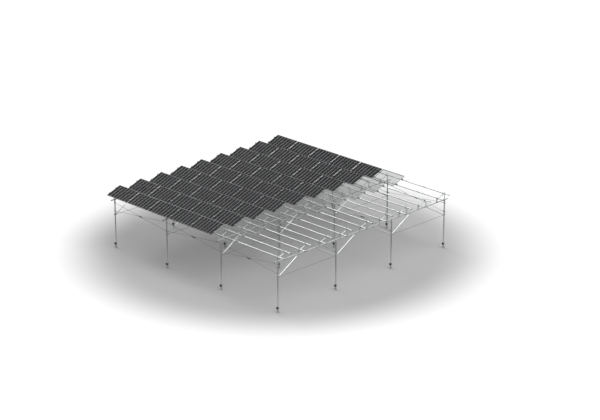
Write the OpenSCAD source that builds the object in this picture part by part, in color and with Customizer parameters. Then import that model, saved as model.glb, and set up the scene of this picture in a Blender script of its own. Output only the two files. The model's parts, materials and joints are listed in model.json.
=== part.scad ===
// Raised solar canopy over a field: four pipe frames, nine tilted rows of panels, millimetres.
// Rows run along X, frames run along Y and the slope of each row rises towards +Y.
// The origin is on the ground, at the centre of the footprint.

/* [Layout] */
// Distance between neighbouring frames
bay_x = 4200; // [3700:50:5000]
// Distance between neighbouring posts of a frame
bay_y = 4200; // [3700:50:5000]
// Number of bays along the rows
bays_x = 3; // [2:1:4]
// Number of bays along a frame
bays_y = 3; // [2:1:4]
// Number of panel rows
rows = 9; // [7:1:9]
// Height of the main beam's axis above the ground
beam_z = 2800; // [2500:50:4000]
// Length of beam past the outer posts
beam_overhang = 250; // [180:10:600]
// Length of purlin past the outer frames
purlin_overhang = 445; // [420:5:700]

/* [Pipes] */
// Outside diameter of posts, beams and purlins
pipe_d = 60.3; // [48.3:0.1:76.1]
// Wall of posts, beams and purlins
pipe_wall = 3.2; // [2:0.1:5]
// Outside diameter of the tilted bracket rail
rail_d = 48.3; // [42.4:0.1:55]
// Wall of the bracket rail
rail_wall = 2.9; // [2:0.1:4]
// Outside diameter of bracket legs
strut_d = 42.4; // [33.7:0.1:46]
// Wall of bracket legs
strut_wall = 2.6; // [2:0.1:4]
// Outside diameter of knee braces
knee_d = 48.3; // [38:0.1:55]
// Wall of knee braces
knee_wall = 2.9; // [2:0.1:4]
// Longest piece of pipe that a purlin is made of
stock_len = 6000; // [5500:100:6500]
// Length of the first purlin piece, from the bare end to the first coupler
first_len = 1825; // [1000:25:2000]
// Length of a purlin coupler sleeve
coupler_len = 160; // [100:10:240]
// Wall of a purlin coupler sleeve
coupler_wall = 4; // [2:0.5:8]
// Gap between two purlin pieces inside a coupler
butt_gap = 2; // [0.5:0.5:5]
// Thickness of the head of a pipe plug
plug_head = 8; // [4:1:20]
// Depth of a pipe plug inside its pipe
plug_depth = 25; // [15:1:40]

/* [Foot] */
// Diameter of the base flange
flange_d = 200; // [180:5:260]
// Thickness of the base flange
flange_t = 10; // [6:1:20]
// Pitch circle of the anchor holes
anchor_pcd = 150; // [140:1:165]
// Diameter of an anchor hole
anchor_hole_d = 14; // [10:1:18]
// Number of anchor holes
anchor_count = 4; // [4:1:6]
// Height of the ground sleeve
sleeve_h = 200; // [120:10:260]
// Wall of the ground sleeve
sleeve_wall = 5; // [3:0.5:8]
// Clearance between a post and its sleeve, on the radius
sleeve_clear = 1; // [0.5:0.1:2]
// Thickness of a sleeve rib
rib_t = 6; // [4:1:10]
// Height of a sleeve rib
rib_h = 60; // [30:5:100]
// Diameter of the boss on the foot hub
boss_d = 104; // [90:1:120]
// Distance from the post's axis to the end of the boss
boss_reach = 66; // [55:1:90]
// Wall of the hub's block around the post
hub_wall = 12; // [8:1:18]
// Width of the cap's rim outside the boss
cap_rim = 10; // [4:1:14]
// Depth of the foot cap
cap_depth = 24; // [16:1:40]
// Depth of the boss inside the foot cap
cap_seat = 12; // [6:1:14]
// Rounding of the foot cap's edge
cap_round = 8; // [2:1:9]

/* [Clamps] */
// Clearance between a clamp and the pipe it grips, on the radius
grip_clear = 0.1; // [0.05:0.05:0.5]
// Wall of a clamp shell
shell_wall = 6; // [4:0.5:9]
// Thickness of a clamp ear
ear_t = 8; // [5:0.5:10]
// Length of a clamp ear past the shell
ear_len = 36; // [32:1:45]
// Gap between the ears of two shells that meet
ear_gap = 3; // [2:0.5:5]
// Distance from the end of an ear to the centre of its bolt
ear_edge = 15; // [11:1:18]
// Length of the saddles and straps on the main beam
saddle_len = 100; // [80:5:120]
// Length of the socket under a post head
socket_len = 90; // [60:5:120]
// Wall of the socket of a post head
socket_wall = 8; // [5:1:12]
// Thickness between the top of a post and the cradle above it
socket_roof = 8; // [5:1:15]
// Diameter of the bolts
bolt_d = 12; // [10:1:14]
// Clearance between a bolt and its hole, on the radius
bolt_clear = 0.5; // [0.25:0.25:1]
// Width of bolt heads and nuts across corners
bolt_hex = 20.8; // [18:0.1:22]
// Height of a bolt's head
bolt_head = 7.5; // [5:0.5:10]
// Height of a nut
bolt_nut = 10; // [8:0.5:12]

/* [Bracing] */
// Height of the knee collars above the ground
knee_z = 1937; // [1500:1:2100]
// Distance from a post to the knee's hanger on the beam
knee_reach = 1390; // [1200:10:1450]
// Distance from the beam's axis down to the knee's upper pin
knee_drop = 80; // [74:1:110]
// Height of a knee collar
knee_collar_h = 72; // [70:1:100]
// Distance between the knee's pin and the tie's pin on a collar
knee_pin_gap = 36; // [35:1:40]
// Thickness of the tongues on knees and ties
tongue_t = 8; // [6:1:12]
// Width of a knee's tongue
knee_tongue_w = 40; // [32:1:40]
// Distance from a knee's pin to the end of its tube
knee_tongue = 62; // [58:1:90]
// Depth of a knee's tongue inside its tube
tongue_depth = 35; // [20:1:60]
// Length of a hanger along the beam
hanger_len = 46; // [40:1:60]
// Diameter of the tie rods
tie_d = 16; // [12:1:20]
// Width of the flat end of a tie rod
tie_eye_w = 28; // [24:1:30]
// Length of the flat end of a tie rod, from its pin
tie_eye_len = 60; // [45:1:90]
// Diameter of the cross rods
rod_d = 14; // [10:1:16]
// Thickness of the flat eye of a cross rod
rod_eye_t = 10; // [9:1:13]
// Width of the flat eye of a cross rod
rod_eye_w = 34; // [28:1:40]
// Length of the flat eye of a cross rod, from its pin
rod_eye_len = 50; // [40:1:80]
// Height of the upper cross brace collars above the ground
brace_high = 2610; // [2300:10:2630]
// Height of the lower cross brace collars above the ground
brace_low = 2120; // [2020:10:2200]
// Height of a cross brace collar
brace_collar_h = 50; // [40:1:70]
// Length of a turnbuckle
buckle_len = 250; // [180:5:320]
// Width of a turnbuckle across its two bars
buckle_w = 46; // [42:1:60]
// Thickness of a turnbuckle
buckle_t = 28; // [24:1:30]
// Width of the window in a turnbuckle
buckle_window_w = 20; // [18:1:24]
// Length of a turnbuckle's threaded end
buckle_end = 36; // [25:1:50]
// Clearance between a rod and its turnbuckle, on the radius
thread_clear = 0.3; // [0.1:0.1:0.5]
// Length of rod that shows inside the window
rod_show = 22; // [5:1:40]

/* [Tilt bracket] */
// Slope of the panels in degrees
tilt = 20; // [10:1:25]
// Height of the lower purlin's axis above the beam's axis
purlin_rise = 239; // [225:1:300]
// Distance between the two purlins of a row, along the slope
purlin_gap = 495; // [450:5:540]
// Distance along the beam from the front leg's saddle to the rear leg's axis
bracket_base = 600; // [560:5:640]
// Distance along the rail from the lower purlin back to the front leg
front_back = 50; // [48:1:60]
// Length of rail past the outer legs' rings
rail_tail = 6; // [4:1:60]
// Length of the ring on top of a bracket leg
ring_len = 44; // [36:1:50]
// Wall of the rings and crossover fittings
ring_wall = 6; // [5:0.5:9]
// Width of the pad and the neck at the ends of a leg's tube
neck_w = 44; // [42:1:50]
// Height of the pad on top of a leg's saddle
pad_h = 6; // [3:1:12]
// Height of the neck under a leg's ring
neck_h = 10; // [6:1:16]
// Width of the drain slot at the foot of a leg's tube
drain_w = 8; // [4:1:14]
// Height of the drain slot
drain_h = 16; // [8:1:24]
// Thickness of a rail cap's head
rail_cap_t = 6; // [3:1:12]
// Depth of a rail cap inside its rail
rail_cap_depth = 20; // [10:1:30]
// Gap between rail and purlin in a crossover fitting
cross_gap = 15; // [13:1:25]
// Length of each ring of a crossover fitting
seat_len = 44; // [36:1:46]
// Width of the web of a crossover fitting
web_w = 36; // [30:1:44]

/* [Modules] */
// Distance between neighbouring modules of a row
module_pitch = 1666; // [1500:1:1700]
// Number of module places in a row
module_places = 8; // [8:1:8]
// Number of places with dark modules
dark_count = 5; // [1:1:6]
// Number of places with clear modules
clear_count = 1; // [0:1:2]
// Gap between two neighbouring modules
module_gap = 70; // [50:1:76]
// Length of a module along the slope
module_l = 980; // [900:5:1060]
// Height of a module's frame
module_h = 35; // [30:1:45]
// Height of the modules' underside above the purlins' axes
module_seat = 50; // [46:1:70]
// Wall of the frame's outer web
frame_web = 2; // [1.5:0.5:4]
// Width of the frame's bottom flange
frame_flange = 28; // [20:1:35]
// Width of the frame's lip over the glass
frame_lip = 11; // [8:1:14]
// Thickness of the frame's lip and flange
frame_lip_t = 1.6; // [1.2:0.1:3]
// Thickness of the glass laminate
glass_t = 6; // [4:0.5:8]
// Clearance between the edge of the glass and the frame's web
glass_edge = 1.5; // [1:0.5:3]
// Number of cell strings in a module
string_count = 7; // [5:1:8]
// Clear gap between two cell strings
string_gap = 28; // [10:1:50]
// Thickness of a cell sheet
cell_t = 1; // [0.5:0.1:2]
// Margin between the frame's lip and the first string
cell_margin = 4; // [1:1:10]
// Width of the bus strip that joins the strings at each end
bus_w = 6; // [3:1:12]
// Width of a junction box
jbox_w = 120; // [80:1:160]
// Length of a junction box along the slope
jbox_l = 60; // [40:1:100]
// Height of a junction box
jbox_h = 18; // [12:1:22]
// Distance from the module's upper edge to its junction box
jbox_edge = 90; // [60:5:140]
// Length of a module clamp along its purlin
clamp_len = 100; // [92:1:120]
// Width of a module clamp along the slope
clamp_w = 40; // [30:1:50]
// Wall of a module clamp's ring around the purlin
clamp_wall = 4; // [3:0.5:6]
// Width of the slit under a module clamp's ring
slit_w = 8; // [4:1:14]
// Thickness of a module clamp's cap
clamp_cap_t = 5; // [3:0.5:8]
// Width of the clamp's stem between two modules
stem_w = 24; // [12:1:40]

/* [Hidden] */
$fn = 48;
// Overlap of a cutting body past the face that it cuts
cut = 1;
frame_len = bays_y * bay_y;
row_len = bays_x * bay_x;
row_pitch = (frame_len - bracket_base) / (rows - 1);
pipe_r = pipe_d / 2;
rail_r = rail_d / 2;
bolt_hole_d = bolt_d + 2 * bolt_clear;
beam_len = frame_len + 2 * beam_overhang;
purlin_len = row_len + 2 * purlin_overhang;
purlin_z = beam_z + purlin_rise;
post_top = beam_z - pipe_r - shell_wall - socket_roof;
ear_reach = pipe_r + shell_wall + ear_len;
ear_bolt = ear_reach - ear_edge;
knee_pin_z = knee_z + knee_pin_gap / 2;
tie_pin_z = knee_z - knee_pin_gap / 2;
rod_off = ear_gap / 2 + ear_t + rod_eye_t / 2;
hub_z = sleeve_h + boss_d / 2;
// Distance from the rail's axis to the purlins' axes, square to the slope
stack = rail_r + cross_gap + pipe_r;
front_s = -front_back;
front_y = slope_y(front_s, -stack);
front_h = purlin_rise + slope_z(front_s, -stack);
rear_s = (bracket_base - slope_y(0, -stack)) / cos(tilt);
rear_h = purlin_rise + slope_z(rear_s, -stack);
rail_end = ring_len / 2 + rail_tail;
module_w = module_pitch - module_gap;
first_edge = -module_pitch * module_places / 2;
module_s = (purlin_gap - module_l) / 2;
glass_z = module_h - frame_lip_t - glass_t;
filled = dark_count + clear_count;

function frame_x(i) = row_len / 2 - bay_x * i;
function post_y(j) = -frame_len / 2 + bay_y * j;
function row_y(k) = -frame_len / 2 + row_pitch * (k - 1);
// Place on the ground plan and height of a point of the slope, from the lower purlin's axis
function slope_y(s, n) = s * cos(tilt) - n * sin(tilt);
function slope_z(s, n) = s * sin(tilt) + n * cos(tilt);

// Places along the beam of every bracket leg's saddle
LEGS_Y = [for (k = [1:rows], end = [0, bracket_base]) row_y(k) + end];
function nearest(y, places) = min([for (p = places) abs(p - y)]);
// A leg that lands on a post head is bolted straight to the head's cradle
function on_head(y) = nearest(y, [for (j = [0:bays_y]) post_y(j)]) < saddle_len;
function head_shared(j) = nearest(post_y(j), LEGS_Y) < saddle_len;
// A knee's hanger moves aside along the beam until it clears every saddle
hanger_room = (saddle_len + hanger_len) / 2 + ear_gap;
function aside(y) =
    let (hits = [for (leg = LEGS_Y) if (abs(leg - y) < hanger_room) leg])
    len(hits) == 0 ? y : y < hits[0] ? hits[0] - hanger_room : hits[0] + hanger_room;
// Each knee's lower and upper pin along the beam: none rises past the ends of the beam
KNEES = [
    for (j = [0:bays_y], side = [-1, 1])
        if (j + side >= 0 && j + side <= bays_y)
            [post_y(j) + side * ear_bolt, aside(post_y(j) + side * knee_reach)]
];
brace_run = bay_x - 2 * ear_bolt;
brace_rise = brace_high - brace_low;
brace_span = norm([brace_run, brace_rise]);
brace_angle = atan2(brace_rise, brace_run);
// Joints between purlin pieces, from the bare end, and the pieces' two ends along X
JOINTS_X = [for (x = purlin_len / 2 - first_len; x > coupler_len - purlin_len / 2; x = x - stock_len) x];
joint_count = len(JOINTS_X);
PIECES = [
    for (p = [0:joint_count]) [
        p == joint_count ? -purlin_len / 2 : JOINTS_X[p] + butt_gap / 2,
        p == 0 ? purlin_len / 2 : JOINTS_X[p - 1] - butt_gap / 2
    ]
];

FRAMES = [1:bays_x + 1];
ROWS = [1:rows];

// Placing

module along_x() rotate([0, 90, 0]) children();

module along_y() rotate([-90, 0, 0]) children();

module at_posts() {
    for (i = [0:bays_x], j = [0:bays_y]) translate([frame_x(i), post_y(j), 0]) children();
}

// A row's own axes: origin on the lower purlin's axis, Y up the slope, Z square to the panels
module on_slope(k) translate([0, row_y(k), purlin_z]) rotate([tilt, 0, 0]) children();

module at_brackets() {
    for (i = [0:bays_x], k = ROWS) translate([frame_x(i), 0, 0]) on_slope(k) children();
}

module at_module(m) {
    translate([first_edge + module_pitch * m + module_gap / 2, module_s, module_seat]) children();
}

// Shared shapes

module pipe(d, wall, len) {
    difference() {
        cylinder(d = d, h = len);
        translate([0, 0, -cut]) cylinder(d = d - 2 * wall, h = len + 2 * cut);
    }
}

module plug(d, wall, head) {
    translate([0, 0, -head]) cylinder(d = d, h = head);
    cylinder(d = d - 2 * wall - 2 * grip_clear, h = plug_depth);
}

// Half of a pipe clamp around the Z axis, on its -Y side, with ears along X
module shell_half(d, len, wall, reach, thick, bolt_x, bolts_z, gap) {
    bore = d + 2 * grip_clear;
    difference() {
        linear_extrude(len, center = true) difference() {
            union() {
                circle(d = bore + 2 * wall);
                translate([-reach, -gap / 2 - thick]) square([2 * reach, thick]);
            }
            circle(d = bore);
            translate([-2 * reach, -gap / 2]) square(4 * reach);
        }
        for (x = [-bolt_x, bolt_x], z = bolts_z)
            translate([x, cut, z]) rotate([90, 0, 0]) cylinder(d = bolt_hole_d, h = gap + thick + 2 * cut);
    }
}

module beam_half() {
    shell_half(pipe_d, saddle_len, shell_wall, ear_reach, ear_t, ear_bolt, [0], ear_gap);
}

module over_beam() rotate([-90, 0, 0]) children();

module under_beam() rotate([90, 0, 0]) children();

// A flat eye with a round end, its pin along Y at the origin, its shank along Z
module eye(width, thick, len) {
    rotate([90, 0, 0]) linear_extrude(thick, center = true) difference() {
        union() {
            circle(d = width);
            translate([-width / 2, 0]) square([width, len]);
        }
        circle(d = bolt_hole_d);
    }
}

// A bolt with its nut, its axis along Z, clamping a stack of the given grip about the origin
module pin_bolt(grip) {
    translate([0, 0, -grip / 2]) cylinder(d = bolt_d, h = grip);
    translate([0, 0, grip / 2]) cylinder(d = bolt_hex, h = bolt_head, $fn = 6);
    translate([0, 0, -grip / 2 - bolt_nut]) cylinder(d = bolt_hex, h = bolt_nut, $fn = 6);
}

// Feet

module ground_sleeve() {
    outer_d = pipe_d + 2 * sleeve_clear + 2 * sleeve_wall;
    difference() {
        union() {
            cylinder(d = flange_d, h = flange_t);
            cylinder(d = outer_d, h = sleeve_h);
            for (a = [0:anchor_count - 1])
                rotate((a + 0.5) * 360 / anchor_count) rotate([90, 0, 0])
                    linear_extrude(rib_t, center = true) polygon([
                        [(outer_d - sleeve_wall) / 2, flange_t / 2],
                        [flange_d / 2 - flange_t, flange_t / 2],
                        [(outer_d - sleeve_wall) / 2, flange_t + rib_h]
                    ]);
        }
        translate([0, 0, flange_t]) cylinder(d = pipe_d + 2 * sleeve_clear, h = sleeve_h);
        for (a = [0:anchor_count - 1])
            rotate(a * 360 / anchor_count) translate([anchor_pcd / 2, 0, -cut])
                cylinder(d = anchor_hole_d, h = flange_t + 2 * cut);
    }
}

module ground_sleeves() color("silver") at_posts() ground_sleeve();

// A block bored for the post, with a round boss on its front face
module foot_hub() {
    block_w = pipe_d + 2 * hub_wall;
    difference() {
        union() {
            translate([-block_w / 2, -block_w / 2, sleeve_h]) cube([block_w, block_w, boss_d]);
            translate([0, -block_w / 2, hub_z]) rotate([90, 0, 0])
                cylinder(d = boss_d, h = boss_reach - block_w / 2);
        }
        translate([0, 0, sleeve_h - cut]) cylinder(d = pipe_d + 2 * grip_clear, h = boss_d + 2 * cut);
    }
}

module foot_hubs() color("darkgray") at_posts() foot_hub();

module foot_cap() {
    outer_r = boss_d / 2 + cap_rim;
    rotate_extrude() difference() {
        union() {
            square([outer_r - cap_round, cap_depth]);
            square([outer_r, cap_depth - cap_round]);
            intersection() {
                translate([outer_r - cap_round, cap_depth - cap_round]) circle(cap_round);
                square([outer_r, cap_depth]);
            }
        }
        translate([-cut, -cut]) square([boss_d / 2 + grip_clear + cut, cap_seat + cut]);
    }
}

module foot_caps() color("black") at_posts()
    translate([0, cap_seat - boss_reach, hub_z]) rotate([90, 0, 0]) foot_cap();

// Posts and main beams

module posts_frame(f) color("lightslategray")
    for (j = [0:bays_y]) translate([frame_x(f - 1), post_y(j), flange_t])
        pipe(pipe_d, pipe_wall, post_top - flange_t);

module main_beam(f) color("lightslategray")
    translate([frame_x(f - 1), -beam_len / 2, beam_z]) along_y() pipe(pipe_d, pipe_wall, beam_len);

module post_head() {
    bore = pipe_d + 2 * grip_clear;
    difference() {
        union() {
            translate([0, 0, beam_z]) under_beam() beam_half();
            translate([0, 0, post_top - socket_len])
                cylinder(d = bore + 2 * socket_wall, h = beam_z - ear_gap / 2 - ear_t - post_top + socket_len);
        }
        translate([0, 0, post_top - socket_len - cut]) cylinder(d = bore, h = socket_len + cut);
        translate([0, -saddle_len, beam_z]) along_y() cylinder(d = bore, h = 2 * saddle_len);
    }
}

module post_heads() color("silver") at_posts() post_head();

// One strap closes each post head that no bracket leg stands on, and each leg's saddle elsewhere
module beam_straps() color("silver") {
    for (i = [0:bays_x], j = [0:bays_y])
        if (!head_shared(j)) translate([frame_x(i), post_y(j), beam_z]) over_beam() beam_half();
    for (i = [0:bays_x], y = LEGS_Y)
        if (!on_head(y)) translate([frame_x(i), y, beam_z]) under_beam() beam_half();
}

// Knee braces and ties

module knee_collars() color("silver") at_posts() for (turn = [-90, 90])
    translate([0, 0, knee_z]) rotate(turn)
        shell_half(
            pipe_d, knee_collar_h, shell_wall, ear_reach, ear_t, ear_bolt,
            [-knee_pin_gap / 2, knee_pin_gap / 2], tongue_t
        );

// A strap bent over the beam, both ends hanging down beside the knee's tongue
module knee_hanger() {
    bore = pipe_d + 2 * grip_clear;
    drop = knee_drop + ear_edge;
    difference() {
        rotate([90, 0, 0]) linear_extrude(hanger_len, center = true) difference() {
            union() {
                circle(d = bore + 2 * shell_wall);
                translate([-tongue_t / 2 - shell_wall, -drop]) square([tongue_t + 2 * shell_wall, drop]);
            }
            circle(d = bore);
            translate([-tongue_t / 2, -drop - cut]) square([tongue_t, drop + cut]);
        }
        translate([-pipe_d, 0, -knee_drop]) along_x() cylinder(d = bolt_hole_d, h = 2 * pipe_d);
    }
}

module knee_hangers() color("silver") for (i = [0:bays_x], knee = KNEES)
    translate([frame_x(i), knee[1], beam_z]) knee_hanger();

// A tube from pin to pin along Z, with a flat tongue welded into each end, its pins along X
module knee_brace(span) {
    translate([0, 0, knee_tongue]) pipe(knee_d, knee_wall, span - 2 * knee_tongue);
    for (z = [0, span]) translate([0, 0, z]) rotate([z > 0 ? 180 : 0, 0, 90]) knee_end();
}

// The tongue's inner part is wider, so that it meets the wall of the tube
module knee_end() {
    inner_w = knee_d - knee_wall;
    eye(knee_tongue_w, tongue_t, knee_tongue + tongue_depth);
    translate([-inner_w / 2, -tongue_t / 2, knee_tongue + cut]) cube([inner_w, tongue_t, tongue_depth]);
}

module knee_braces() color("silver") for (i = [0:bays_x], knee = KNEES) {
    foot_y = knee[0];
    run = knee[1] - foot_y;
    rise = beam_z - knee_drop - knee_pin_z;
    translate([frame_x(i), foot_y, knee_pin_z]) rotate([-atan2(run, rise), 0, 0])
        knee_brace(norm([run, rise]));
}

module tie_rod() {
    span = bay_y - 2 * ear_bolt;
    rotate(90) eye(tie_eye_w, tongue_t, tie_eye_len);
    translate([0, 0, tie_eye_len - tie_d]) cylinder(d = tie_d, h = span - 2 * tie_eye_len + 2 * tie_d);
    translate([0, 0, span]) rotate([180, 0, 90]) eye(tie_eye_w, tongue_t, tie_eye_len);
}

// The first and the last bay of each frame carry a tie
module tie_rods() color("gray") for (i = [0:bays_x], j = [0, bays_y - 1])
    translate([frame_x(i), post_y(j) + ear_bolt, tie_pin_z]) along_y() tie_rod();

// Cross bracing along the rows

module brace_collars() color("silver") at_posts() for (z = [brace_low, brace_high], turn = [0, 180])
    translate([0, 0, z]) rotate(turn)
        shell_half(pipe_d, brace_collar_h, shell_wall, ear_reach, ear_t, ear_bolt, [0], ear_gap);

// Places a rod's axis, along Z from pin to pin, falling (-1) or rising (1) towards +X
module at_cross_bays(slope) {
    for (i = [1:bays_x], j = [0:bays_y])
        translate([
            frame_x(i) + ear_bolt,
            post_y(j) + slope * rod_off,
            slope > 0 ? brace_low : brace_high
        ]) rotate([0, 90 - slope * brace_angle, 0]) children();
}

// A rod with one flat eye, its pin along Y at the origin
module rod_end(len) {
    eye(rod_eye_w, rod_eye_t, rod_eye_len);
    translate([0, 0, rod_eye_len - rod_d]) cylinder(d = rod_d, h = len - rod_eye_len + rod_d);
}

module cross_rods() color("gray") {
    inner_end = (brace_span - buckle_len) / 2 + buckle_end + rod_show;
    at_cross_bays(1) {
        rod_end(brace_span / 2);
        translate([0, 0, brace_span]) rotate([180, 0, 0]) rod_end(brace_span / 2);
    }
    at_cross_bays(-1) {
        rod_end(inner_end);
        translate([0, 0, brace_span]) rotate([180, 0, 0]) rod_end(inner_end);
    }
}

// An open frame with round ends: a threaded hole at each end and a window between two bars
module turnbuckle() {
    difference() {
        rotate([90, 0, 0]) linear_extrude(buckle_t, center = true) difference() {
            slot_outline(buckle_w, buckle_len);
            slot_outline(buckle_window_w, buckle_len - 2 * buckle_end);
        }
        translate([0, 0, -buckle_len]) cylinder(d = rod_d + 2 * thread_clear, h = 2 * buckle_len);
    }
}

// A slot with round ends, centred on the origin along Y
module slot_outline(width, len) {
    square([width, len - width], center = true);
    for (end = [-1, 1]) translate([0, end * (len - width) / 2]) circle(d = width);
}

module turnbuckles() color("dimgray") at_cross_bays(-1) translate([0, 0, brace_span / 2]) turnbuckle();

// Tilt brackets

module bracket_rails() color("lightslategray") at_brackets()
    translate([0, front_s - rail_end, -stack]) along_y()
        pipe(rail_d, rail_wall, rear_s - front_s + 2 * rail_end);

module rail_cap() {
    translate([0, 0, -rail_cap_t]) cylinder(d = rail_d, h = rail_cap_t);
    cylinder(d = rail_d - 2 * rail_wall - 2 * grip_clear, h = rail_cap_depth);
}

module rail_caps() color("black") at_brackets() {
    translate([0, front_s - rail_end, -stack]) along_y() rail_cap();
    translate([0, rear_s + rail_end, -stack]) rotate([90, 0, 0]) rail_cap();
}

// A ring around a pipe that runs along Z, not yet bored
module ring(d) cylinder(d = d + 2 * grip_clear + 2 * ring_wall, h = seat_len, center = true);

// A saddle on the beam, an upright tube on a pad that may stand off the saddle's middle,
// and a ring for the tilted rail
module bracket_leg(off, height) {
    pad_z = pipe_r + shell_wall + pad_h;
    ring_r = rail_r + grip_clear + ring_wall;
    difference() {
        union() {
            over_beam() beam_half();
            translate([-neck_w / 2, off - neck_w / 2, 0]) cube([neck_w, neck_w, pad_z]);
            translate([0, off, pad_z]) cylinder(d = strut_d, h = height - pad_z - ring_r);
            translate([0, off, height]) rotate([tilt, 0, 0]) {
                along_y() cylinder(r = ring_r, h = ring_len, center = true);
                translate([-neck_w / 2, -ring_len / 2, -ring_r - neck_h])
                    cube([neck_w, ring_len, ring_r + neck_h]);
            }
        }
        translate([0, -saddle_len, 0]) along_y() cylinder(d = pipe_d + 2 * grip_clear, h = 2 * saddle_len);
        translate([0, off, height]) rotate([tilt, 0, 0]) translate([0, -ring_len, 0]) along_y()
            cylinder(d = rail_d + 2 * grip_clear, h = 2 * ring_len);
        difference() {
            translate([0, off, pad_z]) cylinder(d = strut_d - 2 * strut_wall, h = height - pad_z);
            translate([0, off, height]) rotate([tilt, 0, 0])
                translate([-neck_w / 2, -ring_len, -ring_r - neck_h]) cube([neck_w, 2 * ring_len, height]);
        }
        translate([-drain_w / 2, off - neck_w / 2, pad_z]) cube([drain_w, neck_w / 2, drain_h]);
    }
}

module front_legs() color("silver") for (i = [0:bays_x], k = ROWS)
    translate([frame_x(i), row_y(k), beam_z]) bracket_leg(front_y, front_h);

module rear_legs() color("silver") for (i = [0:bays_x], k = ROWS)
    translate([frame_x(i), row_y(k) + bracket_base, beam_z]) bracket_leg(0, rear_h);

// Two rings square to each other, one around the purlin and one around the rail, on a shared web
module crossover() {
    difference() {
        union() {
            along_x() ring(pipe_d);
            translate([0, 0, -stack]) along_y() ring(rail_d);
            translate([-web_w / 2, -web_w / 2, -stack]) cube([web_w, web_w, stack]);
        }
        translate([-seat_len, 0, 0]) along_x() cylinder(d = pipe_d + 2 * grip_clear, h = 2 * seat_len);
        translate([0, -seat_len, -stack]) along_y() cylinder(d = rail_d + 2 * grip_clear, h = 2 * seat_len);
    }
}

module crossovers() color("dimgray") at_brackets() for (s = [0, purlin_gap])
    translate([0, s, 0]) crossover();

// Purlins

module purlins_row(k) color("lightgray") on_slope(k) for (s = [0, purlin_gap], p = PIECES)
    translate([p[0], s, 0]) along_x() pipe(pipe_d, pipe_wall, p[1] - p[0]);

// A sleeve over each joint between two pieces
module purlin_sleeves() color("darkgray") for (k = ROWS) on_slope(k)
    for (s = [0, purlin_gap], x = JOINTS_X) translate([x - coupler_len / 2, s, 0]) along_x()
        pipe(pipe_d + 2 * grip_clear + 2 * coupler_wall, coupler_wall, coupler_len);

module pipe_plugs() color("black") {
    for (i = [0:bays_x]) translate([frame_x(i), 0, beam_z]) {
        translate([0, -beam_len / 2, 0]) along_y() plug(pipe_d, pipe_wall, plug_head);
        translate([0, beam_len / 2, 0]) rotate([90, 0, 0]) plug(pipe_d, pipe_wall, plug_head);
    }
    for (k = ROWS) on_slope(k) for (s = [0, purlin_gap]) {
        translate([-purlin_len / 2, s, 0]) along_x() plug(pipe_d, pipe_wall, plug_head);
        translate([purlin_len / 2, s, 0]) rotate([0, -90, 0]) plug(pipe_d, pipe_wall, plug_head);
    }
}

// Modules

// Section of the frame, inwards along X and upwards along Y
module frame_profile() {
    square([frame_web, module_h]);
    square([frame_flange, frame_lip_t]);
    translate([0, module_h - frame_lip_t]) square([frame_lip, frame_lip_t]);
}

// One mitred bar along X, its outer face on the XZ plane
module frame_bar(len) {
    intersection() {
        rotate([90, 0, 90]) linear_extrude(len) frame_profile();
        linear_extrude(module_h)
            polygon([[0, 0], [len, 0], [len - frame_flange, frame_flange], [frame_flange, frame_flange]]);
    }
}

module module_frame() {
    frame_bar(module_w);
    translate([module_w, module_l, 0]) rotate(180) frame_bar(module_w);
    translate([0, module_l, 0]) rotate(-90) frame_bar(module_l);
    translate([module_w, 0, 0]) rotate(90) frame_bar(module_l);
}

module module_frames_row(k) color("black") on_slope(k)
    for (m = [0:dark_count - 1]) at_module(m) module_frame();

module clear_module_frames() color("gray") for (k = ROWS) on_slope(k)
    for (m = [dark_count:1:filled - 1]) at_module(m) module_frame();

module glass_pane() {
    inset = frame_web + glass_edge;
    translate([inset, inset, glass_z]) cube([module_w - 2 * inset, module_l - 2 * inset, glass_t]);
}

module glass_panes() color("lightcyan", 0.4) for (k = ROWS) on_slope(k)
    for (m = [0:filled - 1]) at_module(m) glass_pane();

// Strings of cells side by side under the glass, with clear gaps between them and a bus at each end
module cell_sheet() {
    margin = frame_lip + cell_margin;
    sheet_w = module_w - 2 * margin;
    sheet_l = module_l - 2 * margin;
    pitch = (sheet_w + string_gap) / string_count;
    translate([margin, margin, glass_z - cell_t]) linear_extrude(cell_t) difference() {
        square([sheet_w, sheet_l]);
        for (c = [1:string_count - 1]) translate([c * pitch - string_gap, bus_w])
            square([string_gap, sheet_l - 2 * bus_w]);
    }
}

module cell_sheets_row(k) color("midnightblue") on_slope(k)
    for (m = [0:dark_count - 1]) at_module(m) cell_sheet();

module junction_box() {
    translate([(module_w - jbox_w) / 2, module_l - jbox_edge - jbox_l, glass_z - cell_t - jbox_h])
        cube([jbox_w, jbox_l, jbox_h]);
}

module junction_boxes() color("black") for (k = ROWS) on_slope(k)
    for (m = [0:dark_count - 1]) at_module(m) junction_box();

// A bent strap around the purlin, slit below, with a flat seat on top for the modules
module clamp_ring() {
    bore_r = pipe_r + grip_clear;
    rotate([90, 0, 90]) linear_extrude(clamp_len, center = true) difference() {
        union() {
            circle(bore_r + clamp_wall);
            translate([-clamp_w / 2, 0]) square([clamp_w, module_seat]);
        }
        circle(bore_r);
        translate([-slit_w / 2, -2 * bore_r]) square([slit_w, 2 * bore_r]);
    }
}

// A cap over the modules' edges: its stem fills the whole outer half where a row ends
module clamp_cap(outer_low, outer_high) {
    stem = stem_w / 2;
    translate([0, clamp_w / 2, module_seat]) rotate([90, 0, 0]) linear_extrude(clamp_w) {
        translate([-clamp_len / 2, module_h]) square([clamp_len, clamp_cap_t]);
        translate([outer_low ? -clamp_len / 2 : -stem, 0])
            square([(outer_low ? clamp_len / 2 : stem) + (outer_high ? clamp_len / 2 : stem), module_h]);
    }
}

module module_clamps() color("silver") for (k = ROWS) on_slope(k)
    for (m = [0:filled], s = [0, purlin_gap]) translate([first_edge + module_pitch * m, s, 0]) {
        clamp_ring();
        clamp_cap(m == 0, m == filled);
    }

// Bolts that carry the knees, the ties and the cross rods

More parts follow.
